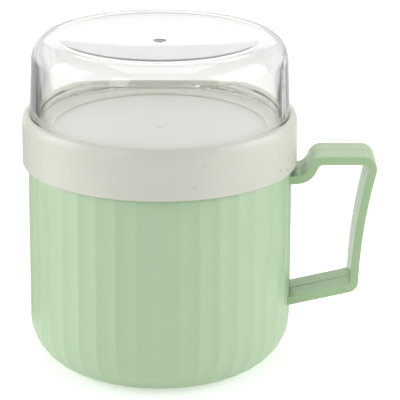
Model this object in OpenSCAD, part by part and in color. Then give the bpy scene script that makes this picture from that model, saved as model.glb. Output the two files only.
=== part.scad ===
// Lidded soup mug: a fluted mug with a swan-necked handle, an inner lid held down by a screw
// collar, and a clear cup that stands upside down in the collar.
// Millimetres, +Z up. The origin is the centre of the foot, and the handle points along +X.

/* [Mug body] */
// Outer radius of the fluted wall, on the ridges between the flutes
body_r = 52.5; // [48:0.5:58]
// Height of the shoulder where the fluted wall ends under the collar
shoulder_h = 84.4; // [78:0.1:96]
// Height of the plain neck that carries the collar, up to the drinking rim
neck_h = 9.7; // [8:0.1:13]
// Wall of the neck at the rim
neck_wall = 2; // [1.4:0.1:3]
// Thickness of the floor
floor_t = 2.8; // [2:0.1:5]
// Radius of the rounding between the wall and the foot
foot_fillet_r = 20; // [14:0.5:24]
// Depth of the recess under the foot
foot_recess = 0.8; // [0.4:0.1:1.4]
// Width of the flat ring that the mug stands on
foot_ring_w = 4; // [3:0.5:8]
// Number of flutes round the wall
flute_count = 40; // [24:2:52]
// Depth of a flute below its ridges
flute_depth = 0.36; // [0.2:0.02:0.6]
// How far the inside narrows from the rim down to the floor
inside_draft = 0.8; // [0.2:0.1:1.5]

/* [Handle] */
// Width of the handle
handle_w = 20.4; // [15:0.2:25]
// Thickness of the handle along its middle
handle_t = 3.4; // [2.8:0.1:4.2]
// Thickness of the handle along its two edges
handle_edge_t = 2.7; // [2:0.1:2.8]
// Height of the lower arm above the rounded base, where it leaves the wall
low_arm_up = 7; // [3:0.1:12]
// Length of the lower arm
low_arm_l = 24; // [20:0.1:32]
// Rise of the lower arm, in degrees
low_arm_rise = 13; // [0:0.5:20]
// Lean of the grip from upright at its foot, in degrees
grip_lean = 1.4; // [0:0.1:8]
// Radius of the grip's long curve
grip_r = 214; // [180:1:400]
// Height of the top arm above the mug's shoulder
top_arm_up = 1.3; // [0:0.1:3]
// Room between the collar and the swan neck
collar_room = 10.2; // [8:0.1:12]
// Turn of the swan neck, in degrees
swan_turn = 64.5; // [45:0.5:70]
// Straight length in the middle of the swan neck
swan_l = 2.1; // [1:0.1:5]
// Fall of the handle's root where it meets the wall, in degrees
root_fall = 21.5; // [10:0.5:30]

/* [Inner lid] */
// Thickness of the inner lid
lid_t = 1.6; // [1.2:0.1:2.4]
// Thickness of the lid's seal
lid_seal_t = 1; // [0.6:0.1:1.6]
// Depth of the rim that centres the lid in the mug
lid_plug_h = 3; // [2:0.5:5]
// Thickness of that rim
lid_plug_t = 1.4; // [1:0.1:2]

/* [Collar] */
// Wall of the collar
collar_wall = 1.6; // [1.4:0.1:3]
// How far the collar reaches down over the fluted wall
collar_lap = 1.3; // [0.6:0.1:2]
// Thickness of the inward flange
flange_t = 1.5; // [1.2:0.1:2]
// How far the flange reaches inward over the lid
flange_w = 10.1; // [8:0.1:13]
// How deep the clear cup stands in the collar
cup_socket_h = 5.4; // [4.6:0.1:9]
// Width of the rounding round the collar's top
collar_round_w = 2; // [1.4:0.1:2]
// Height of the rounding round the collar's top
collar_round_h = 4.2; // [2:0.1:5]

/* [Clear cup] */
// How much slimmer the clear cup is than the fluted wall
dome_inset = 1; // [0:0.1:1.6]
// Height of the clear cup, mouth to crest
dome_h = 35.6; // [31:0.1:48]
// Wall of the clear cup at its mouth
dome_wall = 2; // [1.6:0.1:2.2]
// How far the cup's side draws in from the collar to its shoulder
dome_draft = 1; // [0.4:0.1:1.5]
// Radius of the cup's shoulder
dome_shoulder_r = 9.4; // [6:0.2:11]
// Width of the flat crest round the recessed top
crest_w = 0.5; // [0.3:0.1:3]
// Width of the soft step from the crest down to the recessed top
crest_step_w = 2; // [1.4:0.1:3]
// Depth of the recess in the top, at its edge
crest_h = 1.5; // [1.2:0.1:2.6]
// How much deeper the recess is in the middle
dish_h = 1.6; // [0:0.1:2.4]
// Thickness of the recessed top
dome_top_t = 2.4; // [1.8:0.1:3]
// Thickness of the cup's seal
dome_seal_t = 0.8; // [0.5:0.1:1.2]

/* [Hidden] */
$fn = 128;

// Running clearance between two pieces that turn in each other
clearance = 0.4;
// Clearance of the lid where it drops into the mug
plug_gap = 0.5;
// Overrun of a cut past the face that it opens
cut_over = 1;
// Small rounding of moulded edges
edge_r = 0.5;
// Rounding of the collar's lower edge
hem_r = 0.8;
// Space for the thread on each side of a screwed joint
thread_room = 1.1;
// Radius and height of the nub that a mould's gate leaves
gate_r = 1.6;
gate_h = 0.35;
// Radius and depth of the dimple round the nub on the clear cup
dimple_r = 2.8;
dimple_h = 0.6;
// Width of the soft rings
seal_w = 1.7;
// Centre-line radii of the handle's bends, from the lower arm round to the wall
low_bend_r = 3;
top_bend_r = 3.6;
swan_out_r = 3.9;
swan_in_r = 5.8;
// Rounding of the handle's four long edges
handle_round = 0.5;
// How far each root of the handle runs on inside the wall before the wall's face trims it
root_run = 3;

// Neck and inside of the mug
neck_r = body_r - thread_room;
rim_h = shoulder_h + neck_h;
inside_r = neck_r - neck_wall;
inside_low_r = inside_r - inside_draft;
inside_fillet_r = foot_fillet_r - (body_r - inside_low_r);
foot_r = body_r - foot_fillet_r;

// Stack of the lid on the rim
lid_z = rim_h + lid_seal_t;
flange_z = lid_z + lid_t;
flange_top = flange_z + flange_t;
dome_z = flange_top + dome_seal_t;

// Collar
collar_z = shoulder_h - collar_lap;
collar_top = flange_top + cup_socket_h;
collar_low_r = body_r + clearance;
collar_r = collar_low_r + collar_wall;
flange_open_r = collar_low_r - flange_w;

// Clear cup
dome_r = body_r - dome_inset;
collar_up_r = dome_r + clearance;
dome_neck_r = dome_r - thread_room;
dome_inner_low_r = dome_neck_r - dome_wall;
dome_top = dome_z + dome_h;
dome_side_r = dome_r - dome_draft;
crest_r = dome_side_r - dome_shoulder_r;
well_r = crest_r - crest_w - crest_step_w;
well_z = dome_top - crest_h;
ceiling_z = well_z - dome_top_t;
ceiling_r = crest_r - crest_step_w;
shoulder_z = dome_top - dome_shoulder_r;
shoulder_in_r = dome_inner_low_r - inside_draft / 2 - crest_r;

// Inner lid
lid_r = neck_r;
plug_r = inside_r - plug_gap;

// Points on an arc about [cx, cy], from angle a0 to a1
function arc(cx, cy, rx, ry, a0, a1, steps) =
  [for (i = [0:steps]) let (a = a0 + (a1 - a0) * i / steps) [cx + rx * cos(a), cy + ry * sin(a)]];

// Points on the dished face of the cup's top, from radius r at its edge in to the axis
dish_steps = 8;
function dished(r, z) =
  [for (i = [0:dish_steps]) let (t = i / dish_steps) [r * (1 - t), z - dish_h * (1 - pow(1 - t, 2))]];

// Points down a soft step from radius r0 at height z0 in to radius r1 at height z1
drop_steps = 4;
function stepped(r0, z0, r1, z1) =
  [for (i = [0:drop_steps - 1]) let (t = i / drop_steps)
    [r0 + (r1 - r0) * t, z0 + (z1 - z0) * t * t * (3 - 2 * t)]];

// Solid through a list of rings that have the same number of points, closed at both ends
module loft(rings) {
  n = len(rings[0]);
  last = len(rings) - 1;
  sides = [
    for (k = [0:last - 1], i = [0:n - 1])
      let (j = (i + 1) % n) each [
        [k * n + i, (k + 1) * n + i, (k + 1) * n + j],
        [k * n + i, (k + 1) * n + j, k * n + j]
      ]
  ];
  low_end = [for (i = [0:n - 1]) i];
  high_end = [for (i = [0:n - 1]) last * n + n - 1 - i];
  polyhedron(points = [for (r = rings) each r], faces = concat(sides, [low_end, high_end]),
             convexity = 6);
}

// Fluted outside of the mug. Each row of the rounded base and the wall is its ridge radius, its
// height and the share of the flute's depth that is left there: the flutes fade into the foot.
fillet_steps = 9;
flute_steps = 4;
ring_points = flute_count * flute_steps;
outside_rows = concat(
  [for (i = [0:fillet_steps]) let (a = 90 * i / fillet_steps)
    [foot_r + foot_fillet_r * sin(a), foot_fillet_r * (1 - cos(a)), sin(a)]],
  [[body_r, shoulder_h, 1]]
);
// How deep the flute is at a share t of the way from one ridge to the next
function flute_dent(t) = 4 * t * (1 - t);
function flute_ring(row) = [
  for (i = [0:ring_points - 1])
    let (t = (i % flute_steps) / flute_steps, r = row[0] - row[2] * flute_depth * flute_dent(t),
         a = 360 * i / ring_points)
      [r * cos(a), r * sin(a), row[1]]
];

module fluted_outside() {
  loft([for (row = outside_rows) flute_ring(row)]);
}

module mug_body() {
  color("darkseagreen")
  difference() {
    union() {
      fluted_outside();
      translate([0, 0, shoulder_h - cut_over]) cylinder(r = neck_r, h = rim_h - shoulder_h + cut_over);
    }
    rotate_extrude() polygon(concat(
      [[0, rim_h + cut_over], [0, floor_t]],
      arc(inside_low_r - inside_fillet_r, floor_t + inside_fillet_r, inside_fillet_r,
          inside_fillet_r, -90, 0, 10),
      [[inside_r, rim_h - edge_r]],
      [[inside_r + edge_r, rim_h], [inside_r + edge_r, rim_h + cut_over]]
    ));
    translate([0, 0, -cut_over]) cylinder(r = foot_r - foot_ring_w, h = foot_recess + cut_over);
  }
}

// Cross-section of the handle, with rounded edges: across its thickness, then along its width.
// It is thickest along the parting line in the middle.
half_w = handle_w / 2;
half_t = handle_t / 2;
round_u = handle_edge_t / 2 - handle_round;
round_v = half_w - handle_round;
handle_section = concat(
  [[half_t, 0]],
  arc(round_u, round_v, handle_round, handle_round, 0, 90, 3),
  arc(-round_u, round_v, handle_round, handle_round, 90, 180, 3),
  [[-half_t, 0]],
  arc(-round_u, -round_v, handle_round, handle_round, 180, 270, 3),
  arc(round_u, -round_v, handle_round, handle_round, 270, 360, 3)
);

// The handle's centre line runs from the lower root round to the wall again
low_arm_z = foot_fillet_r + low_arm_up;
top_arm_z = shoulder_h + top_arm_up;
grip_start = 90 - grip_lean;
low_end_z = low_arm_z + low_arm_l * sin(low_arm_rise)
  + low_bend_r * (cos(low_arm_rise) - cos(grip_start));
grip_end = acos((top_arm_z - low_end_z + grip_r * cos(grip_start) - top_bend_r)
  / (grip_r + top_bend_r));
top_end_x = body_r + low_arm_l * cos(low_arm_rise)
  + low_bend_r * (sin(grip_start) - sin(low_arm_rise))
  + grip_r * (sin(grip_start) - sin(grip_end)) - top_bend_r * sin(grip_end);
top_arm_l = top_end_x - collar_r - collar_room;
swan_end_x = collar_r + collar_room - swan_out_r * sin(swan_turn) - swan_l * cos(swan_turn)
  - swan_in_r * (sin(swan_turn) - sin(root_fall));
root_l = (swan_end_x - body_r) / cos(root_fall);
// Each move is the length of a straight, or a bend's radius and its turn in degrees, which is
// positive to the left. The roots run on into the wall, whose face trims them.
moves = [
  [root_run + low_arm_l, 0, 0],
  [0, low_bend_r, grip_start - low_arm_rise],
  [0, grip_r, grip_end - grip_start],
  [0, top_bend_r, 180 - grip_end],
  [top_arm_l, 0, 0],
  [0, swan_out_r, swan_turn],
  [swan_l, 0, 0],
  [0, swan_in_r, root_fall - swan_turn],
  [root_l + root_run, 0, 0]
];
// Degrees of turn between two rings of a bend, and the fewest steps that a bend takes
bend_step = 9;
bend_min_steps = 5;

function turned(p, a) = [p[0] * cos(a) - p[1] * sin(a), p[0] * sin(a) + p[1] * cos(a)];
// Where a share t of a move ends, when the move starts at zero and heads along the first axis
function move_end(m, t) =
  m[2] == 0 ? [m[0] * t, 0]
  : let (r = m[1] * sign(m[2]), a = m[2] * t) [r * sin(a), r * (1 - cos(a))];
function move_steps(m) = m[2] == 0 ? 1 : max(bend_min_steps, ceil(abs(m[2]) / bend_step));
// Stations of the centre line from move k on: place across and up, and heading
function stations(k, at, heading) =
  k == len(moves) ? [[at, heading]]
  : let (m = moves[k], steps = move_steps(m)) concat(
      [for (i = [0:steps - 1])
        [at + turned(move_end(m, i / steps), heading), heading + m[2] * i / steps]],
      stations(k + 1, at + turned(move_end(m, 1), heading), heading + m[2])
    );
function handle_ring(station) = let (at = station[0], a = station[1]) [
  for (p = handle_section) [at[0] + p[0] * sin(a), p[1], at[1] - p[0] * cos(a)]
];

module handle() {
  start = [body_r, low_arm_z] - turned([root_run, 0], low_arm_rise);
  color("darkseagreen")
  difference() {
    loft([for (s = stations(0, start, low_arm_rise)) handle_ring(s)]);
    fluted_outside();
  }
}

module inner_lid() {
  color("gainsboro") {
    translate([0, 0, lid_z]) cylinder(r = lid_r, h = lid_t);
    translate([0, 0, flange_z]) cylinder(r = gate_r, h = gate_h);
    translate([0, 0, lid_z - lid_plug_h]) difference() {
      cylinder(r = plug_r, h = lid_plug_h);
      translate([0, 0, -cut_over]) cylinder(r = plug_r - lid_plug_t, h = lid_plug_h + cut_over);
    }
  }
}

module lid_seal() {
  color("whitesmoke")
  translate([0, 0, rim_h]) soft_ring(neck_r - seal_w, neck_r, lid_seal_t);
}

module soft_ring(r_in, r_out, h) {
  difference() {
    cylinder(r = r_out, h = h);
    translate([0, 0, -cut_over]) cylinder(r = r_in, h = h + 2 * cut_over);
  }
}

module collar() {
  color("beige")
  rotate_extrude() polygon(concat(
    [[collar_low_r, collar_z]],
    arc(collar_r - hem_r, collar_z + hem_r, hem_r, hem_r, -90, 0, 4),
    arc(collar_r - collar_round_w, collar_top - collar_round_h, collar_round_w, collar_round_h, 0, 90, 10),
    [[collar_up_r, collar_top], [collar_up_r, flange_top]],
    arc(flange_open_r + edge_r, flange_top - edge_r, edge_r, edge_r, 90, 180, 3),
    [[flange_open_r, flange_z], [collar_low_r, flange_z]]
  ));
}

module dome_seal() {
  color("whitesmoke")
  translate([0, 0, flange_top]) soft_ring(dome_neck_r - seal_w, dome_neck_r, dome_seal_t);
}

module dome() {
  color("lightcyan", 0.5)
  difference() {
    rotate_extrude() polygon(concat(
      [[0, dome_z], [dome_neck_r, dome_z], [dome_neck_r, collar_top - 2 * thread_room],
       [dome_r, collar_top - thread_room]],
      arc(crest_r, shoulder_z, dome_shoulder_r, dome_shoulder_r, 0, 90, 12),
      stepped(crest_r - crest_w, dome_top, well_r, well_z),
      dished(well_r, well_z)
    ));
    rotate_extrude() polygon(concat(
      [[0, dome_z - cut_over], [dome_inner_low_r, dome_z - cut_over], [dome_inner_low_r, dome_z]],
      arc(crest_r, shoulder_z, shoulder_in_r, shoulder_in_r, 0, 84, 9),
      stepped(crest_r, shoulder_z + shoulder_in_r, ceiling_r, ceiling_z),
      dished(ceiling_r, ceiling_z)
    ));
    translate([0, 0, well_z - dish_h - dimple_h])
      soft_ring(gate_r, dimple_r, dimple_h + cut_over);
  }
}

mug_body();
handle();
inner_lid();
lid_seal();
collar();
dome_seal();
dome();
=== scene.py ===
"""Looks of the lidded soup mug: a fluted mug with a swan-necked handle, an inner lid under a screw
collar, and a clear cup that stands upside down in the collar. Sizes of the object and the cards are
in millimetres until MM. The floor, the lamps and the camera's distance are in metres, and angles in
degrees."""

import math

import bpy
import numpy as np
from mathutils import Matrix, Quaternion, Vector


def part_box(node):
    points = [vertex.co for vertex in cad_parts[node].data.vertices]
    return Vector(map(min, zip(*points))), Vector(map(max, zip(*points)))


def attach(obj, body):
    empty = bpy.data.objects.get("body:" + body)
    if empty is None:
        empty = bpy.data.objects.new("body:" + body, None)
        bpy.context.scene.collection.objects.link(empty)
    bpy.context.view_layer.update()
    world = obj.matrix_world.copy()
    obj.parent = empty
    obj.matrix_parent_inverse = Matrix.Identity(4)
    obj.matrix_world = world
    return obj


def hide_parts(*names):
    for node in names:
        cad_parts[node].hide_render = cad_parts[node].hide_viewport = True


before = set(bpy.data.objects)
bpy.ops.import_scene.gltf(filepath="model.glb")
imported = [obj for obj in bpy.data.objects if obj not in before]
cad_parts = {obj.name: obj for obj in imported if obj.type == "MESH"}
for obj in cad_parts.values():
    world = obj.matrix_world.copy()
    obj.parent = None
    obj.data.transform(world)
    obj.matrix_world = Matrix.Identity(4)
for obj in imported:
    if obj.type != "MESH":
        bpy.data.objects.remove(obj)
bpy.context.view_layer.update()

MM = 0.001
WHITE = 255


def box(node):
    """Lowest and highest corner of a CAD node, in millimetres."""
    low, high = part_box(node)
    return low / MM, high / MM


# Sizes read from the frame
MUG_HIGH = box("mug_body")[1]
COLLAR_LOW, COLLAR_HIGH = box("collar")
LID_LOW, LID_HIGH = box("inner_lid")
LID_SEAL_LOW, LID_SEAL_HIGH = box("lid_seal")
DOME_SEAL_LOW, DOME_SEAL_HIGH = box("dome_seal")
DOME_LOW, DOME_HIGH = box("dome")
HANDLE_LOW, HANDLE_HIGH = box("handle")

# Screw threads: four starts, right-handed. Each has the height of its ridge, below 0 where it
# points inward, its start above the foot of its wall, and its end below the wall's top or its
# length
THREAD_PITCH = 3.0
THREAD_LEAD = 12.0
THREAD_CREST = 0.7
THREAD_FLANK = 0.3
THREAD_ROW = 0.22
NECK_THREAD = {"height": 1.0, "start": 0.5, "end": 0.9}
COLLAR_LOW_THREAD = {"height": -1.1, "start": 1.0, "end": 1.2}
COLLAR_UP_THREAD = {"height": -1.0, "start": 0.5, "length": 2.6}
CUP_THREAD = {"height": 0.9, "start": 0.3, "length": 2.0}

# Mug body
BODY_R = MUG_HIGH.y
RIM_Z = MUG_HIGH.z
COLLAR_LAP = 1.3
SHOULDER_Z = COLLAR_LOW.z + COLLAR_LAP
SHOULDER_BEVEL = 0.4
SHOULDER_SOFT = 0.12
NECK_R = LID_SEAL_HIGH.x
NECK_WALL = 2.0
NECK_FILLET = 0.2
RIM_OUT_R = 0.6
RIM_IN_R = 0.5
INSIDE_R = NECK_R - NECK_WALL
INSIDE_DRAFT = 0.8
INSIDE_LOW_R = INSIDE_R - INSIDE_DRAFT
INSIDE_ROWS = 8
INSIDE_FLAT_W = 12
FLOOR_T = 2.8
FOOT_FILLET_R = 20.0
FOOT_ROWS = 30
FOOT_R = BODY_R - FOOT_FILLET_R
FOOT_RING_W = 4.0
FOOT_RECESS = 0.8
RECESS_ROUND = 0.5
FOOT_ROUND = 0.25
WALL_ROW = 8
FLUTES = 40
FLUTE_DEPTH = 0.36
RIDGE_SOFT = 0.10
FLUTE_STEPS = 16

# Handle: its section, then its centre line from the lower root to the upper one
HANDLE_W = HANDLE_HIGH.y - HANDLE_LOW.y
HANDLE_T = 3.6
HANDLE_EDGE_T = 3.3
HANDLE_ROUND = 0.2
FACE_FROM_GROOVE = 0.3
FACE_FROM_EDGE = 0.4
GROOVE_DEPTH = 0.2
GROOVE_W = 0.8
GROOVE_FLAT = 0.2
ROOT_DEPTH = 1.9
LOW_ARM_UP = 7.3
LOW_ARM_L = 23.7
LOW_ARM_RISE = 13.0
LOW_BEND_R = 3.0
GRIP_LEAN = 1.4
GRIP_R = 214.0
TOP_BEND_R = 3.6
TOP_ARM_UP = 1.6
COLLAR_ROOM = 10.2
SWAN_OUT_R = 3.9
SWAN_TURN = 64.5
SWAN_L = 2.1
SWAN_IN_R = 6.5
ROOT_FALL = 6.0
HANDLE_ROW = 2
HANDLE_TURN_ROW = 3

# Inner lid, its seal and the cup's. A gate mark is the round scar where the plastic was fed in
GATE_H = 0.35
GATE_R = 1.6
GATE_SLOPE = 0.3
GATE_TAPER = 0.1
GATE_PIT_R = 0.5
GATE_MOAT = 0.25
GATE_MOAT_IN = 0.3
GATE_MOAT_OUT = 1.2
LID_Z = LID_SEAL_HIGH.z
FLANGE_Z = LID_HIGH.z - GATE_H
LID_R = LID_HIGH.x
PLUG_ROOM = 0.5
PLUG_R = INSIDE_R - PLUG_ROOM
PLUG_T = 1.4
SEAL_W = 1.7
SEAL_GAP = 0.02
SEAL_ROUND = 0.3
SEAL_GROOVE_W = 0.3
SEAL_GROOVE_DEPTH = 0.15
SEAL_GROOVE_ROUND = 0.1
SEAL_SEAM = 0.05

# Collar. Inside, it clears the body and the cup by the same room
SCREW_ROOM = 0.4
COLLAR_R = COLLAR_HIGH.x
COLLAR_LOW_R = BODY_R + SCREW_ROOM
COLLAR_MOUTH_R = 0.5
COLLAR_ROUND_W = 1.7
COLLAR_ROUND_H = 4.2
COLLAR_LIP_R = 0.25
BORE_TOP = 0.4
BORE_BOTTOM = 0.7
BORE_FILLET = 0.2
HEM_R = 0.8
FLANGE_TOP = DOME_SEAL_LOW.z
FLANGE_W = 10.1
FLANGE_OPEN_R = COLLAR_LOW_R - FLANGE_W
FLANGE_SEAT_R = 0.3
FLANGE_TOP_R = 0.9
FLANGE_LOW_R = 0.3

# Clear cup. Its wall thins from the mouth to the shoulder
DOME_R = DOME_HIGH.x
COLLAR_UP_R = DOME_R + SCREW_ROOM
DOME_NECK_R = DOME_SEAL_HIGH.x
DOME_NECK_WALL = 2.0
DOME_INNER_LOW_R = DOME_NECK_R - DOME_NECK_WALL
DOME_INNER_LOW_H = 2
DOME_MOUTH_R = 0.3
DOME_DRAFT = 1.0
DOME_SIDE_R = DOME_R - DOME_DRAFT
DOME_SHOULDER_R = 9.4
DOME_INNER_R = 7.8
CREST_R = DOME_SIDE_R - DOME_SHOULDER_R
CREST_TILT = 7.4
LEDGE_DEPTH = 2.2
LEDGE_SEAM = 0.05
LEDGE_FOOT = 0.3
LEDGE_TOP = 1.3
LEDGE_END = 2
DIMPLE_R = 2.8
DIMPLE_H = 0.25
DIMPLE_PIN_R = 0.4
DIMPLE_MARGIN = 0.4
DIMPLE_ROWS = 16

# Sharpest bends that are shaded smooth, in degrees
SHARP_ANGLE = 40
HANDLE_SHARP_ANGLE = 20

# Points round each turned piece
LID_STEPS = 256
SEAL_STEPS = 192
COLLAR_STEPS = 384
DOME_STEPS = 384

# Floor, and the glow it adds to what falls on it: where it lights the object, where the camera
# sees it, and where gloss or clear plastic shows it, darker so that the clear cup's edges read
FLOOR_HALF = 4.0
FLOOR_GREY = 0.9
FLOOR_LIGHT = 0.18
FLOOR_SEEN = 0.45
FLOOR_MIRRORED = 0.26

# Surroundings: their light from the back and the front, and how dim the backdrop gets high up
WORLD_BACK = 0.24
WORLD_FRONT = 0.26
SKY_LEVEL = 0.6
SKY_FADE = (0.42, 0.75)

# Lamps: strips by their bearing from the camera, wide ones by side and elevation, and their watts
LAMP_AIM_Z = 0.07
STRIP_AWAY = 1.2
STRIP_UP = 0.45
STRIP_SIZE = (0.36, 0.9)
STRIPS = [
    ("left_strip", -80, 4.2),
    ("left_rear_strip", -100, 3.8),
    ("left_front_strip", -35, 2.3),
    ("right_front_strip", 60, 1.6),
    ("right_strip", 80, 4.4),
    ("right_rear_strip", 100, 3.3),
]
WIDE_AWAY = 1.35
WIDE_SIZE = (1.0, 0.4)
WIDE_LAMPS = [
    ("top_front", -1, 41, 1.0),
    ("top_rear", 1, 50, 2.4),
    ("low_rear", 1, 22, 0.6),
]
OVERHEAD_UP = 1.3
OVERHEAD_SIZE = (1.0, 1.0)
OVERHEAD_WATTS = 4.4

# Grey cards. The plan of each is a line of x, y in millimetres and an 8-bit grey
CARD_H = 130
CARD_FADE = 32
CARD_TINT = 2
CARDS = [
    dict(name="left_card", in_gloss=False, through_clear=True, plan=[
        (-62, 120, 255), (-64, 120, 235), (-66, 120, 205), (-71, 120, 215), (-77, 120, 250),
        (-81, 120, 248), (-84, 120, 170), (-88, 120, 125), (-100, 120, 150), (-113, 120, 170),
        (-130, 118, 125), (-158, 114, 50), (-166, 110, 35), (-205, 88, 35), (-218, 80, 255)]),
    dict(name="left_gloss_card", in_gloss=True, through_clear=False, plan=[
        (-60, 125, 245), (-100, 125, 245), (-130, 125, 225), (-160, 122, 180), (-166, 118, 80),
        (-215, 88, 95), (-230, 78, 255)]),
    dict(name="right_card", in_gloss=False, through_clear=True, plan=[
        (74, 120, 255), (76, 120, 245), (81, 120, 70), (92, 120, 50), (96, 120, 255)]),
    dict(name="right_far_card", in_gloss=True, through_clear=True, plan=[
        (136, 118, 255), (140, 117, 45), (182, 100, 60), (192, 96, 200), (210, 88, 255)]),
    dict(name="left_flag", in_gloss=True, through_clear=False, height=88, fade=1, plan=[
        (-50, 50, 145), (-125, 0, 145)]),
]

# Camera: the point it aims at, in millimetres, and its long lens
CAMERA_AIM = (16.02, 0, 66.4)
CAMERA_AWAY = 0.9
CAMERA_ELEVATION = 18.0
CAMERA_ROLL = 0.28
CAMERA_LENS = 202.14
CAMERA_SENSOR = 36
CAMERA_NEAR = 0.01


def linear(*srgb):
    """Linear colour of an 8-bit screen colour, with full alpha."""
    parts = [c / WHITE for c in srgb]
    return tuple(c / 12.92 if c <= 0.04045 else ((c + 0.055) / 1.055) ** 2.4
                 for c in parts) + (1.0,)


GREEN = linear(181, 206, 172)
HANDLE_GREEN = linear(172, 201, 158)
OFF_WHITE = linear(211, 211, 200)
MILKY = linear(223, 226, 219)
SEAL_WHITE = linear(222, 223, 219)
CLEAR = linear(250, 251, 249)

# Plastics
PLASTIC_IOR = 1.49
CLEAR_IOR = 1.5
GLOSS_SPREAD = 0.03
NOISE_RANGE = (0.3, 0.7)
HAZE_RANGE = (0.45, 0.8)


def arc(cx, cz, r, a0, a1, steps, rz=None):
    """Points on an arc about (cx, cz), from angle a0 to a1 in degrees. With a height rz that
    differs from its radius it is part of an ellipse."""
    rz = r if rz is None else rz
    turns = [math.radians(a0 + (a1 - a0) * i / steps) for i in range(steps + 1)]
    return [(cx + r * math.cos(t), cz + rz * math.sin(t)) for t in turns]


def rounded(corners, degrees_per_step=12):
    """A polyline through corners (r, z, radius), each rounded to its radius."""
    points = []
    for i, (r, z, radius) in enumerate(corners):
        if radius == 0 or i in (0, len(corners) - 1):
            points.append((r, z))
            continue
        here = Vector((r, z))
        back = (Vector(corners[i - 1][:2]) - here).normalized()
        ahead = (Vector(corners[i + 1][:2]) - here).normalized()
        half = math.acos(max(-1, min(1, back.dot(ahead)))) / 2
        centre = here + (back + ahead).normalized() * (radius / math.sin(half))
        start = here + back * (radius / math.tan(half)) - centre
        end = here + ahead * (radius / math.tan(half)) - centre
        turn = start.angle_signed(end)
        steps = max(2, math.ceil(abs(math.degrees(turn)) / degrees_per_step))
        base = math.atan2(start.y, start.x)
        points += [
            (centre.x + radius * math.cos(base - turn * k / steps),
             centre.y + radius * math.sin(base - turn * k / steps))
            for k in range(steps + 1)
        ]
    return points


def plain(points):
    """Rows of a lathe that are true circles."""
    return [(r, z, None) for r, z in points]


def upright(r, z0, z1, step, form):
    """Rows on a cylinder from z0 to z1, no more than step apart, with a form laid on them."""
    count = max(1, math.ceil(abs(z1 - z0) / step))
    return [(r, z0 + (z1 - z0) * i / count, form) for i in range(count + 1)]


def smooth(t):
    """Smooth step from 0 to 1."""
    t = np.clip(t, 0, 1)
    return t * t * (3 - 2 * t)


def flute(share):
    """Form of the fluted wall: how far it lies below its ridges, at a share of the full depth."""
    def form(angle, z):
        t = (angle * FLUTES / (2 * math.pi)) % 1.0
        dent = 4 * t * (1 - t)
        soft = np.sqrt(dent * dent + RIDGE_SOFT * RIDGE_SOFT) - RIDGE_SOFT
        return -share * FLUTE_DEPTH * soft / (math.sqrt(1 + RIDGE_SOFT ** 2) - RIDGE_SOFT)
    return form


def thread(height, low, high, phase=0):
    """Form of a screw thread between two heights. Its ridge climbs with the angle."""
    def form(angle, z):
        across = (z - THREAD_LEAD * angle / (2 * math.pi) - phase) % THREAD_PITCH
        away = np.abs(across - THREAD_PITCH / 2)
        ridge = smooth((THREAD_CREST / 2 + THREAD_FLANK - away) / THREAD_FLANK)
        ends = smooth((z - low) / THREAD_FLANK) * smooth((high - z) / THREAD_FLANK)
        return height * ridge * ends
    return form


def link(name, data):
    """A new object in the scene."""
    obj = bpy.data.objects.new(name, data)
    bpy.context.scene.collection.objects.link(obj)
    return obj


def mesh_object(name, points, faces, sharp=SHARP_ANGLE):
    """A mesh from points in millimetres, smooth but for edges sharper than the given angle."""
    mesh = bpy.data.meshes.new(name)
    mesh.from_pydata((np.asarray(points) * MM).tolist(), [], faces)
    mesh.validate()
    mesh.shade_smooth()
    mesh.set_sharp_from_angle(angle=math.radians(sharp))
    return link(name, mesh)


def lathe(name, rows, steps):
    """A turned skin through rows of (radius, height, form), which run anticlockwise round the
    section that lies to the right of the axis. It closes at poles on the axis, or else from the
    last row to the first."""
    angles = np.arange(steps) * 2 * math.pi / steps
    points, rings = [], []
    for r, z, form in rows:
        if r == 0:
            rings.append([len(points)] * steps)
            points.append((0, 0, z))
            continue
        radii = r + (form(angles, z) if form else np.zeros(steps))
        rings.append(list(range(len(points), len(points) + steps)))
        points += list(zip(radii * np.cos(angles), radii * np.sin(angles), np.full(steps, z)))
    if rows[0][0] != 0:
        rings.append(rings[0])
    faces = []
    for low, high in zip(rings, rings[1:]):
        for i in range(steps):
            j = (i + 1) % steps
            corners = [low[i], low[j], high[j], high[i]]
            faces.append(tuple(dict.fromkeys(corners)))
    return mesh_object(name, points, faces)


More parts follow.
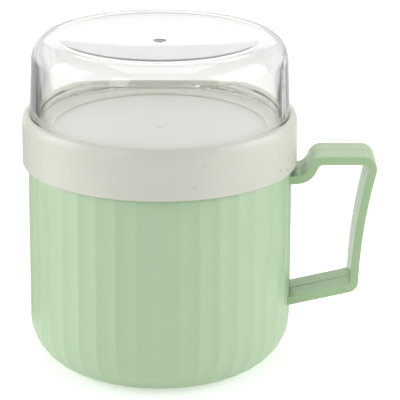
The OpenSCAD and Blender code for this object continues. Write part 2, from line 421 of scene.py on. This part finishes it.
def build_mug():
    """Fluted wall that fades into the rounded base, threaded neck, and a smooth inside."""
    inside_fillet = FOOT_FILLET_R - (BODY_R - INSIDE_LOW_R)
    foot_in = FOOT_R - FOOT_RING_W
    screw = thread(NECK_THREAD["height"], SHOULDER_Z + NECK_THREAD["start"],
                   RIM_Z - NECK_THREAD["end"])
    rows = plain([(0, FOOT_RECESS - GATE_H), (GATE_R - GATE_SLOPE, FOOT_RECESS - GATE_H)])
    rows += plain(rounded([(GATE_R, FOOT_RECESS, 0), (foot_in, FOOT_RECESS, RECESS_ROUND),
                           (foot_in, 0, FOOT_ROUND), (FOOT_R, 0, 0)]))
    for i in range(1, FOOT_ROWS + 1):
        a = math.radians(90 * i / FOOT_ROWS)
        r = FOOT_R + FOOT_FILLET_R * math.sin(a)
        rows.append((r, FOOT_FILLET_R * (1 - math.cos(a)), flute(math.sin(a))))
    rows += upright(BODY_R, FOOT_FILLET_R, SHOULDER_Z - SHOULDER_BEVEL, WALL_ROW, flute(1))[1:]
    rows += [(BODY_R - SHOULDER_SOFT, SHOULDER_Z - SHOULDER_SOFT, flute(1))]
    rows += plain([(BODY_R - SHOULDER_BEVEL, SHOULDER_Z), (NECK_R + NECK_FILLET, SHOULDER_Z)])
    rows += upright(NECK_R, SHOULDER_Z + NECK_FILLET, RIM_Z - RIM_OUT_R, THREAD_ROW, screw)
    rows += plain(arc(NECK_R - RIM_OUT_R, RIM_Z - RIM_OUT_R, RIM_OUT_R, 15, 90, 5))
    rows += plain(arc(INSIDE_R + RIM_IN_R, RIM_Z - RIM_IN_R, RIM_IN_R, 90, 180, 6))
    rows += plain([(INSIDE_R - (INSIDE_R - INSIDE_LOW_R) * t / INSIDE_ROWS,
                    RIM_Z - RIM_IN_R
                    + (FLOOR_T + inside_fillet - RIM_Z + RIM_IN_R) * t / INSIDE_ROWS)
                   for t in range(1, INSIDE_ROWS)])
    rows += plain(arc(INSIDE_LOW_R - inside_fillet, FLOOR_T + inside_fillet, inside_fillet,
                      0, -90, 24))
    rows += plain([(INSIDE_LOW_R - inside_fillet - INSIDE_FLAT_W, FLOOR_T), (0, FLOOR_T)])
    return lathe("mug_shell", rows, FLUTES * FLUTE_STEPS)


def handle_moves():
    """The lower root, and moves of the centre line from it: a length, a bend's radius, its turn."""
    rise, fall, swan = (math.radians(a) for a in (LOW_ARM_RISE, ROOT_FALL, SWAN_TURN))
    start = math.radians(90 - GRIP_LEAN)
    low_z = FOOT_FILLET_R + LOW_ARM_UP
    top_z = SHOULDER_Z + TOP_ARM_UP
    low_end_z = (low_z + LOW_ARM_L * math.sin(rise)
                 + LOW_BEND_R * (math.cos(rise) - math.cos(start)))
    end = math.acos((top_z - low_end_z + GRIP_R * math.cos(start) - TOP_BEND_R)
                    / (GRIP_R + TOP_BEND_R))
    top_end_x = (BODY_R + LOW_ARM_L * math.cos(rise)
                 + LOW_BEND_R * (math.sin(start) - math.sin(rise))
                 + GRIP_R * (math.sin(start) - math.sin(end)) - TOP_BEND_R * math.sin(end))
    swan_end_x = (COLLAR_R + COLLAR_ROOM - SWAN_OUT_R * math.sin(swan) - SWAN_L * math.cos(swan)
                  - SWAN_IN_R * (math.sin(swan) - math.sin(fall)))
    root_l = (swan_end_x - BODY_R) / math.cos(fall)
    return Vector((BODY_R, low_z)), [
        (ROOT_DEPTH + LOW_ARM_L, 0, 0),
        (0, LOW_BEND_R, start - rise),
        (0, GRIP_R, end - start),
        (0, TOP_BEND_R, math.pi - end),
        (top_end_x - COLLAR_R - COLLAR_ROOM, 0, 0),
        (0, SWAN_OUT_R, swan),
        (SWAN_L, 0, 0),
        (0, SWAN_IN_R, fall - swan),
        (root_l + ROOT_DEPTH, 0, 0),
    ]


def handle_stations():
    """Places and headings along the handle, from inside the wall at one root to the other."""
    root, moves = handle_moves()
    heading = math.radians(LOW_ARM_RISE)
    at = root - Vector((math.cos(heading), math.sin(heading))) * ROOT_DEPTH
    stations = []
    for length, radius, turn in moves:
        if turn == 0:
            steps = max(2, math.ceil(length / HANDLE_ROW))
            ahead = Vector((math.cos(heading), math.sin(heading)))
            stations += [(at + ahead * length * i / steps, heading) for i in range(steps)]
            at = at + ahead * length
            continue
        side = math.copysign(1, turn)
        steps = max(8, math.ceil(abs(math.degrees(turn)) / HANDLE_TURN_ROW),
                    math.ceil(radius * abs(turn) / HANDLE_ROW))
        centre = at + Vector((-math.sin(heading), math.cos(heading))) * radius * side
        for i in range(steps):
            h = heading + turn * i / steps
            stations.append((centre - Vector((-math.sin(h), math.cos(h))) * radius * side, h))
        heading += turn
        at = centre - Vector((-math.sin(heading), math.cos(heading))) * radius * side
    stations.append((at, heading))
    return stations


def handle_section():
    """Cross-section of the handle: across its thickness, then along its width. It is thickest in
    the middle, where a shallow groove runs along it."""
    half_w, edge, middle = HANDLE_W / 2, HANDLE_EDGE_T / 2, HANDLE_T / 2
    r, groove = HANDLE_ROUND, GROOVE_W / 2
    fall = (middle - edge) / (half_w - r - groove)
    quarter = [(middle - GROOVE_DEPTH, GROOVE_FLAT * groove), (middle, groove),
               (middle - FACE_FROM_GROOVE * fall, groove + FACE_FROM_GROOVE),
               (edge + FACE_FROM_EDGE * fall, half_w - r - FACE_FROM_EDGE)]
    quarter += arc(edge - r, half_w - r, r, 4, 90, 6)
    left = [(-u, v) for u, v in reversed(quarter)]
    lower = [(-u, -v) for u, v in quarter]
    right = [(u, -v) for u, v in reversed(quarter)]
    return quarter + left + lower + right


def build_handle():
    """The handle, swept along its centre line, with both ends set into the wall."""
    section = handle_section()
    points, rings = [], []
    for at, heading in handle_stations():
        rings.append(list(range(len(points), len(points) + len(section))))
        points += [(at.x + u * math.sin(heading), v, at.y - u * math.cos(heading))
                   for u, v in section]
    faces = []
    for low, high in zip(rings, rings[1:]):
        for i in range(len(section)):
            j = (i + 1) % len(section)
            faces.append((low[i], high[i], high[j], low[j]))
    faces.append(tuple(rings[0]))
    faces.append(tuple(reversed(rings[-1])))
    return mesh_object("handle_loop", points, faces, HANDLE_SHARP_ANGLE)


def build_inner_lid():
    """Milky disc with a centring rim below, and its gate mark in a shallow ring on top."""
    bore, low, gate_top = PLUG_R - PLUG_T, LID_LOW.z, FLANGE_Z + GATE_H
    rows = rounded([(0, LID_Z, 0), (bore, LID_Z, 0.6), (bore, low, 0.3), (PLUG_R, low, 0.5),
                    (PLUG_R, LID_Z, 0.15), (LID_R, LID_Z, 0.3), (LID_R, FLANGE_Z, 0.4),
                    (GATE_R + GATE_MOAT_OUT, FLANGE_Z, 0.3),
                    (GATE_R + GATE_MOAT_IN, FLANGE_Z - GATE_MOAT, 0.2),
                    (GATE_R - GATE_TAPER, gate_top, 0.1), (GATE_PIT_R, gate_top, 0.2),
                    (0, FLANGE_Z + GATE_H / 2, 0)])
    return lathe("lid_disc", plain(rows), LID_STEPS)


def build_seal(name, low, high):
    """Soft ring with rounded edges and a fine groove along its middle. It stops just below what
    presses on it."""
    outer, inner, z0, z1 = high.x, high.x - SEAL_W, low.z, high.z - SEAL_GAP
    middle = (outer + inner) / 2
    rows = rounded([(inner, (z0 + z1) / 2, 0), (inner, z0, SEAL_ROUND), (outer, z0, SEAL_ROUND),
                    (outer, z1, SEAL_ROUND), (middle + SEAL_GROOVE_W, z1, SEAL_GROOVE_ROUND),
                    (middle, z1 - SEAL_GROOVE_DEPTH, SEAL_GROOVE_ROUND),
                    (middle - SEAL_GROOVE_W, z1, SEAL_GROOVE_ROUND), (inner, z1, SEAL_ROUND),
                    (inner, (z0 + z1) / 2 + SEAL_SEAM, 0)])
    return lathe(name, plain(rows), SEAL_STEPS)


def build_collar():
    """Screw ring with an inward flange, threaded inside below and above the flange."""
    bottom, top = COLLAR_LOW.z, COLLAR_HIGH.z
    low_screw = thread(COLLAR_LOW_THREAD["height"], bottom + COLLAR_LOW_THREAD["start"],
                       FLANGE_Z - COLLAR_LOW_THREAD["end"], THREAD_PITCH / 2)
    up_start = FLANGE_TOP + COLLAR_UP_THREAD["start"]
    up_screw = thread(COLLAR_UP_THREAD["height"], up_start, up_start + COLLAR_UP_THREAD["length"],
                      THREAD_PITCH / 2)
    rows = plain(
        arc(COLLAR_LOW_R + COLLAR_MOUTH_R, bottom + COLLAR_MOUTH_R, COLLAR_MOUTH_R, 180, 270, 5)
        + arc(COLLAR_R - HEM_R, bottom + HEM_R, HEM_R, -90, 0, 8)
        + arc(COLLAR_R - COLLAR_ROUND_W, top - COLLAR_ROUND_H, COLLAR_ROUND_W, 0, 90, 16,
              COLLAR_ROUND_H)
        + arc(COLLAR_UP_R + COLLAR_LIP_R, top - COLLAR_LIP_R, COLLAR_LIP_R, 90, 180, 4))
    rows += upright(COLLAR_UP_R, top - BORE_TOP, FLANGE_TOP + FLANGE_SEAT_R, THREAD_ROW, up_screw)
    rows += plain(
        arc(COLLAR_UP_R - FLANGE_SEAT_R, FLANGE_TOP + FLANGE_SEAT_R, FLANGE_SEAT_R, -15, -90, 4)
        + arc(FLANGE_OPEN_R + FLANGE_TOP_R, FLANGE_TOP - FLANGE_TOP_R, FLANGE_TOP_R, 90, 180, 8)
        + arc(FLANGE_OPEN_R + FLANGE_LOW_R, FLANGE_Z + FLANGE_LOW_R, FLANGE_LOW_R, 180, 270, 4)
        + [(COLLAR_LOW_R - BORE_FILLET, FLANGE_Z)])
    rows += upright(COLLAR_LOW_R, FLANGE_Z - BORE_FILLET, bottom + BORE_BOTTOM, THREAD_ROW,
                    low_screw)
    return lathe("screw_ring", rows, COLLAR_STEPS)


def dished(radius, shoulder_z, steps):
    """Points of the cup's dished top, from the axis out. It meets a shoulder of the given radius
    just inside the crest without an edge."""
    tilt = math.radians(CREST_TILT)
    r = CREST_R - radius * math.sin(tilt)
    z = shoulder_z + radius * math.cos(tilt)
    depth = r * math.tan(tilt) / 2
    return [(r * i / steps, z - depth * (1 - (i / steps) ** 2)) for i in range(steps + 1)]


def build_dome():
    """Clear cup: dished top with a gate mark, rounded shoulder, and a threaded neck below a
    ledge."""
    bottom = DOME_LOW.z
    lug_start = bottom + CUP_THREAD["start"]
    lugs = thread(CUP_THREAD["height"], lug_start, lug_start + CUP_THREAD["length"])
    ledge = COLLAR_HIGH.z - LEDGE_DEPTH
    shoulder_z = DOME_HIGH.z - DOME_SHOULDER_R
    rows = plain(
        dished(DOME_INNER_R, shoulder_z, 30)
        + arc(CREST_R, shoulder_z, DOME_INNER_R, 90 + CREST_TILT, 0, 32)[1:]
        + [(DOME_INNER_LOW_R, bottom + DOME_INNER_LOW_H)]
        + arc(DOME_INNER_LOW_R + DOME_MOUTH_R, bottom + DOME_MOUTH_R, DOME_MOUTH_R, 180, 270, 5)
        + arc(DOME_NECK_R - DOME_MOUTH_R, bottom + DOME_MOUTH_R, DOME_MOUTH_R, -90, -15, 4))
    rows += upright(DOME_NECK_R, bottom + DOME_MOUTH_R, ledge, THREAD_ROW, lugs)
    rows += plain(rounded([(DOME_NECK_R, ledge + LEDGE_SEAM, 0),
                           (DOME_NECK_R, ledge + LEDGE_FOOT, 0.2),
                           (DOME_R, ledge + LEDGE_TOP, 0.6), (DOME_R, ledge + LEDGE_END, 0)]))
    rows += plain(arc(CREST_R, shoulder_z, DOME_SHOULDER_R, 0, 90 + CREST_TILT, 36))
    top = dished(DOME_SHOULDER_R, shoulder_z, 36)
    rows += plain([p for p in top[-2::-1] if p[0] > DIMPLE_R + DIMPLE_MARGIN])
    edge_r, edge_z = top[-1]
    for i in range(DIMPLE_ROWS + 1):
        r = DIMPLE_R * (1 - i / DIMPLE_ROWS)
        dish_z = top[0][1] + (edge_z - top[0][1]) * (r / edge_r) ** 2
        moat = math.sin(math.pi * min(1, (DIMPLE_R - r) / (DIMPLE_R - DIMPLE_PIN_R))) ** 2
        rows.append((r, dish_z - DIMPLE_H * moat, None))
    return lathe("clear_cup_shell", rows, DOME_STEPS)


def emptied(owner, output_kind="ShaderNodeOutputMaterial"):
    """The node tree of a material or a world, emptied, and its new output's surface."""
    owner.use_nodes = True
    owner.node_tree.nodes.clear()
    return owner.node_tree, owner.node_tree.nodes.new(output_kind).inputs["Surface"]


def surface(name):
    """A new material with a Principled shader: it, its tree, the shader and object coordinates."""
    material = bpy.data.materials.new(name)
    tree, output = emptied(material)
    shader = tree.nodes.new("ShaderNodeBsdfPrincipled")
    tree.links.new(shader.outputs["BSDF"], output)
    coords = tree.nodes.new("ShaderNodeTexCoord")
    return material, tree, shader, coords.outputs["Object"]


def noise(tree, coords, scale, detail=3.0):
    """A noise texture's value, with about scale cells in a metre."""
    node = tree.nodes.new("ShaderNodeTexNoise")
    node.inputs["Scale"].default_value = scale
    node.inputs["Detail"].default_value = detail
    tree.links.new(coords, node.inputs["Vector"])
    return node.outputs["Fac"]


def ranged(tree, value, low, high, source=NOISE_RANGE):
    """A value mapped from its source range, which by default is that of a noise, to another."""
    node = tree.nodes.new("ShaderNodeMapRange")
    node.inputs["From Min"].default_value = source[0]
    node.inputs["From Max"].default_value = source[1]
    node.inputs["To Min"].default_value = low
    node.inputs["To Max"].default_value = high
    tree.links.new(value, node.inputs["Value"])
    return node.outputs["Result"]


def tinted(tree, value, colour, spread):
    """The colour, a little darker and lighter as the value runs from low to high."""
    node = tree.nodes.new("ShaderNodeMix")
    node.data_type = "RGBA"
    node.inputs["A"].default_value = tuple(c * (1 - spread) for c in colour[:3]) + (1.0,)
    node.inputs["B"].default_value = tuple(min(1, c * (1 + spread)) for c in colour[:3]) + (1.0,)
    tree.links.new(ranged(tree, value, 0, 1), node.inputs["Factor"])
    return node.outputs["Result"]


def bumped(tree, shader, layers):
    """Stacks bump nodes of (height, strength, distance in millimetres) under the shader's
    normal."""
    normal = None
    for height, strength, distance in layers:
        node = tree.nodes.new("ShaderNodeBump")
        node.inputs["Strength"].default_value = strength
        node.inputs["Distance"].default_value = distance * MM
        tree.links.new(height, node.inputs["Height"])
        if normal:
            tree.links.new(normal, node.inputs["Normal"])
        normal = node.outputs["Normal"]
    tree.links.new(normal, shader.inputs["Normal"])


def seen_into(shader, weight, radius, depth):
    """Lets light a few millimetres into the shader's material."""
    shader.inputs["Subsurface Weight"].default_value = weight
    shader.inputs["Subsurface Radius"].default_value = radius
    shader.inputs["Subsurface Scale"].default_value = depth * MM


def moulded_plastic(name, colour, roughness, waves=0.06, see_in=0.0):
    """Satin moulded plastic: faint cloudiness, uneven gloss and a fine skin texture."""
    material, tree, shader, coords = surface(name)
    cloud = tinted(tree, noise(tree, coords, scale=45), colour, spread=0.012)
    tree.links.new(cloud, shader.inputs["Base Color"])
    gloss = noise(tree, coords, scale=260, detail=4)
    tree.links.new(ranged(tree, gloss, roughness - GLOSS_SPREAD, roughness + GLOSS_SPREAD),
                   shader.inputs["Roughness"])
    shader.inputs["IOR"].default_value = PLASTIC_IOR
    if see_in:
        seen_into(shader, see_in, radius=(1.0, 1.0, 0.95), depth=3)
    bumped(tree, shader, [(noise(tree, coords, scale=90, detail=1), waves, 0.12),
                          (noise(tree, coords, scale=3200, detail=2), 0.05, 0.02)])
    return material


def silicone(name, colour):
    """Soft whitish rubber with a dusty, matt skin."""
    material, tree, shader, coords = surface(name)
    cloud = tinted(tree, noise(tree, coords, scale=120), colour, spread=0.03)
    tree.links.new(cloud, shader.inputs["Base Color"])
    tree.links.new(ranged(tree, noise(tree, coords, scale=700, detail=4), 0.5, 0.62),
                   shader.inputs["Roughness"])
    seen_into(shader, 0.25, radius=(1.0, 0.9, 0.8), depth=2)
    bumped(tree, shader, [(noise(tree, coords, scale=2600, detail=3), 0.1, 0.03)])
    return material


def clear_plastic(name, colour):
    """Clear moulded plastic: glossy, faintly tinted, with the slow waves of a moulded wall."""
    material, tree, shader, coords = surface(name)
    cloud = tinted(tree, noise(tree, coords, scale=30), colour, spread=0.004)
    tree.links.new(cloud, shader.inputs["Base Color"])
    haze = noise(tree, coords, scale=500, detail=4)
    tree.links.new(ranged(tree, haze, 0.0, 0.03, HAZE_RANGE), shader.inputs["Roughness"])
    shader.inputs["Transmission Weight"].default_value = 0.98
    shader.inputs["IOR"].default_value = CLEAR_IOR
    bumped(tree, shader, [(noise(tree, coords, scale=38, detail=1.5), 0.12, 0.5)])
    return material


def finish_piece(piece, body, slot, material, *nodes):
    """Rides the piece on its body, gives it its finish and lets it stand for its CAD nodes."""
    piece.data.materials.append(material)
    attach(piece, body)
    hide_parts(*nodes)


def build_object():
    """Makes every piece of the mug."""
    finish_piece(build_mug(), "mug", "green_plastic",
                 moulded_plastic("green_plastic", GREEN, 0.36), "mug_body")
    finish_piece(build_handle(), "mug", "handle_plastic",
                 moulded_plastic("handle_plastic", HANDLE_GREEN, 0.24, waves=0.01), "handle")
    milky = moulded_plastic("milky_plastic", MILKY, 0.34, see_in=0.35)
    finish_piece(build_inner_lid(), "lid", "milky_plastic", milky, "inner_lid")
    rubber = silicone("soft_seal", SEAL_WHITE)
    finish_piece(build_seal("lid_ring_seal", LID_SEAL_LOW, LID_SEAL_HIGH), "lid", "soft_seal",
                 rubber, "lid_seal")
    finish_piece(build_collar(), "screw_collar", "off_white_plastic",
                 moulded_plastic("off_white_plastic", OFF_WHITE, 0.3), "collar")
    finish_piece(build_seal("cup_ring_seal", DOME_SEAL_LOW, DOME_SEAL_HIGH), "cup_seal",
                 "soft_seal", rubber, "dome_seal")
    dome = build_dome()
    finish_piece(dome, "clear_cup", "clear_plastic", clear_plastic("clear_plastic", CLEAR), "dome")
    dome.visible_shadow = False
    dome.visible_diffuse = False


def mixed_by(tree, share, first, second):
    """A mix of two shaders, the second by the share."""
    mix = tree.nodes.new("ShaderNodeMixShader")
    tree.links.new(share, mix.inputs["Fac"])
    tree.links.new(first, mix.inputs[1])
    tree.links.new(second, mix.inputs[2])
    return mix.outputs["Shader"]


def mix_for_sight(tree, plain_shader, seen_shader):
    """Mixes a shader with another for the rays that see it directly, by gloss or through glass."""
    path = tree.nodes.new("ShaderNodeLightPath")
    seen = path.outputs["Is Camera Ray"]
    for kind in ("Is Glossy Ray", "Is Transmission Ray"):
        either = tree.nodes.new("ShaderNodeMath")
        either.operation = "MAXIMUM"
        tree.links.new(seen, either.inputs[0])
        tree.links.new(path.outputs[kind], either.inputs[1])
        seen = either.outputs[0]
    return mixed_by(tree, seen, plain_shader, seen_shader)


def glow_over(tree, shader_out, strength):
    """A shader with an even white glow added."""
    glow = tree.nodes.new("ShaderNodeEmission")
    glow.inputs["Strength"].default_value = strength
    added = tree.nodes.new("ShaderNodeAddShader")
    tree.links.new(shader_out, added.inputs[0])
    tree.links.new(glow.outputs["Emission"], added.inputs[1])
    return added.outputs["Shader"]


def build_floor():
    """Pale floor. The camera sees it white with the object's shadow on it, gloss and clear plastic
    show it a little darker, and to the object it is a plain pale surface."""
    half = FLOOR_HALF
    mesh = bpy.data.meshes.new("floor")
    mesh.from_pydata([(-half, -half, 0), (half, -half, 0), (half, half, 0), (-half, half, 0)], [],
                     [(0, 1, 2, 3)])
    floor = link("floor", mesh)
    material = bpy.data.materials.new("pale_floor")
    tree, output = emptied(material)
    diffuse = tree.nodes.new("ShaderNodeBsdfDiffuse")
    diffuse.inputs["Color"].default_value = (FLOOR_GREY, FLOOR_GREY, FLOOR_GREY, 1)
    lit, mirrored, seen = (glow_over(tree, diffuse.outputs["BSDF"], level)
                           for level in (FLOOR_LIGHT, FLOOR_MIRRORED, FLOOR_SEEN))
    path = tree.nodes.new("ShaderNodeLightPath")
    tree.links.new(mixed_by(tree, path.outputs["Is Camera Ray"],
                            mix_for_sight(tree, lit, mirrored), seen), output)
    mesh.materials.append(material)


def build_world():
    """Soft white surroundings, and a white backdrop where they are seen, dimmer high up."""
    world = bpy.data.worlds.new("studio")
    bpy.context.scene.world = world
    tree, output = emptied(world, "ShaderNodeOutputWorld")
    coords = tree.nodes.new("ShaderNodeTexCoord")
    parts = tree.nodes.new("ShaderNodeSeparateXYZ")
    tree.links.new(coords.outputs["Generated"], parts.inputs[0])
    dim = tree.nodes.new("ShaderNodeBackground")
    tree.links.new(ranged(tree, parts.outputs["Y"], WORLD_FRONT, WORLD_BACK, (-1.0, 1.0)),
                   dim.inputs["Strength"])
    bright = tree.nodes.new("ShaderNodeBackground")
    tree.links.new(ranged(tree, parts.outputs["Z"], 1.0, SKY_LEVEL, SKY_FADE),
                   bright.inputs["Strength"])
    tree.links.new(mix_for_sight(tree, dim.outputs["Background"], bright.outputs["Background"]),
                   output)


def softbox(name, place, size, watts):
    """A rectangular lamp that points at the middle of the object."""
    lamp = bpy.data.lights.new(name, "AREA")
    lamp.shape = "RECTANGLE"
    lamp.size, lamp.size_y = size
    lamp.energy = watts
    obj = link(name, lamp)
    obj.location = place
    aim = Vector((0, 0, LAMP_AIM_Z)) - Vector(place)
    obj.rotation_euler = aim.to_track_quat("-Z", "Y").to_euler()


def build_lamps():
    """Tall soft strips round the mug, and wide soft lights in front of it, behind it and over
    it."""
    for name, bearing, watts in STRIPS:
        a = math.radians(bearing)
        place = (STRIP_AWAY * math.sin(a), -STRIP_AWAY * math.cos(a), STRIP_UP)
        softbox(name, place, STRIP_SIZE, watts)
    for name, side, elevation, watts in WIDE_LAMPS:
        e = math.radians(elevation)
        place = (0, side * WIDE_AWAY * math.cos(e), LAMP_AIM_Z + WIDE_AWAY * math.sin(e))
        softbox(name, place, WIDE_SIZE, watts)
    softbox("overhead", (0, 0, OVERHEAD_UP), OVERHEAD_SIZE, OVERHEAD_WATTS)


def grey_card(name, plan, in_gloss, through_clear, height=CARD_H, fade=CARD_FADE):
    """A standing grey card that shows only in gloss or through clear plastic. The top `fade` of
    it runs to white."""
    levels = (0, height - fade, height)
    points = [(x * MM, y * MM, z * MM) for x, y, _ in plan for z in levels]
    shades = [shade for _, _, grey in plan for shade in (grey, grey, WHITE)]
    faces = [(3 * i + k, 3 * i + 3 + k, 3 * i + 4 + k, 3 * i + 1 + k)
             for i in range(len(plan) - 1) for k in range(2)]
    mesh = bpy.data.meshes.new(name)
    mesh.from_pydata(points, [], faces)
    tone = mesh.attributes.new("tone", "FLOAT_COLOR", "POINT")
    for datum, grey in zip(tone.data, shades):
        datum.color = linear(grey, min(WHITE, grey + CARD_TINT), grey)
    card = link(name, mesh)
    material = bpy.data.materials.new(name)
    tree, output = emptied(material)
    glow = tree.nodes.new("ShaderNodeEmission")
    read = tree.nodes.new("ShaderNodeAttribute")
    read.attribute_name = "tone"
    tree.links.new(read.outputs["Color"], glow.inputs["Color"])
    tree.links.new(glow.outputs["Emission"], output)
    mesh.materials.append(material)
    card.visible_camera = False
    card.visible_diffuse = False
    card.visible_shadow = False
    card.visible_glossy = in_gloss
    card.visible_transmission = through_clear


def build_cards():
    """Greys behind the mug that darken the clear cup's edges, and one that darkens the gloss on
    the left edge of the body and the collar."""
    for card in CARDS:
        grey_card(**card)


def build_camera():
    """A long lens, level with the photograph's view but for a slight roll."""
    aim = Vector(CAMERA_AIM) * MM
    elevation = math.radians(CAMERA_ELEVATION)
    data = bpy.data.cameras.new("camera")
    data.lens = CAMERA_LENS
    data.sensor_width = CAMERA_SENSOR
    data.clip_start = CAMERA_NEAR
    camera = link("camera", data)
    back = Vector((0, -math.cos(elevation), math.sin(elevation)))
    camera.location = aim + back * CAMERA_AWAY
    level = (-back).to_track_quat("-Z", "Y")
    roll = Quaternion((0, 0, 1), math.radians(CAMERA_ROLL))
    camera.rotation_euler = (level @ roll).to_euler()
    bpy.context.scene.camera = camera


build_object()
build_floor()
build_world()
build_lamps()
build_cards()
build_camera()
bpy.context.scene.view_settings.view_transform = "Standard"
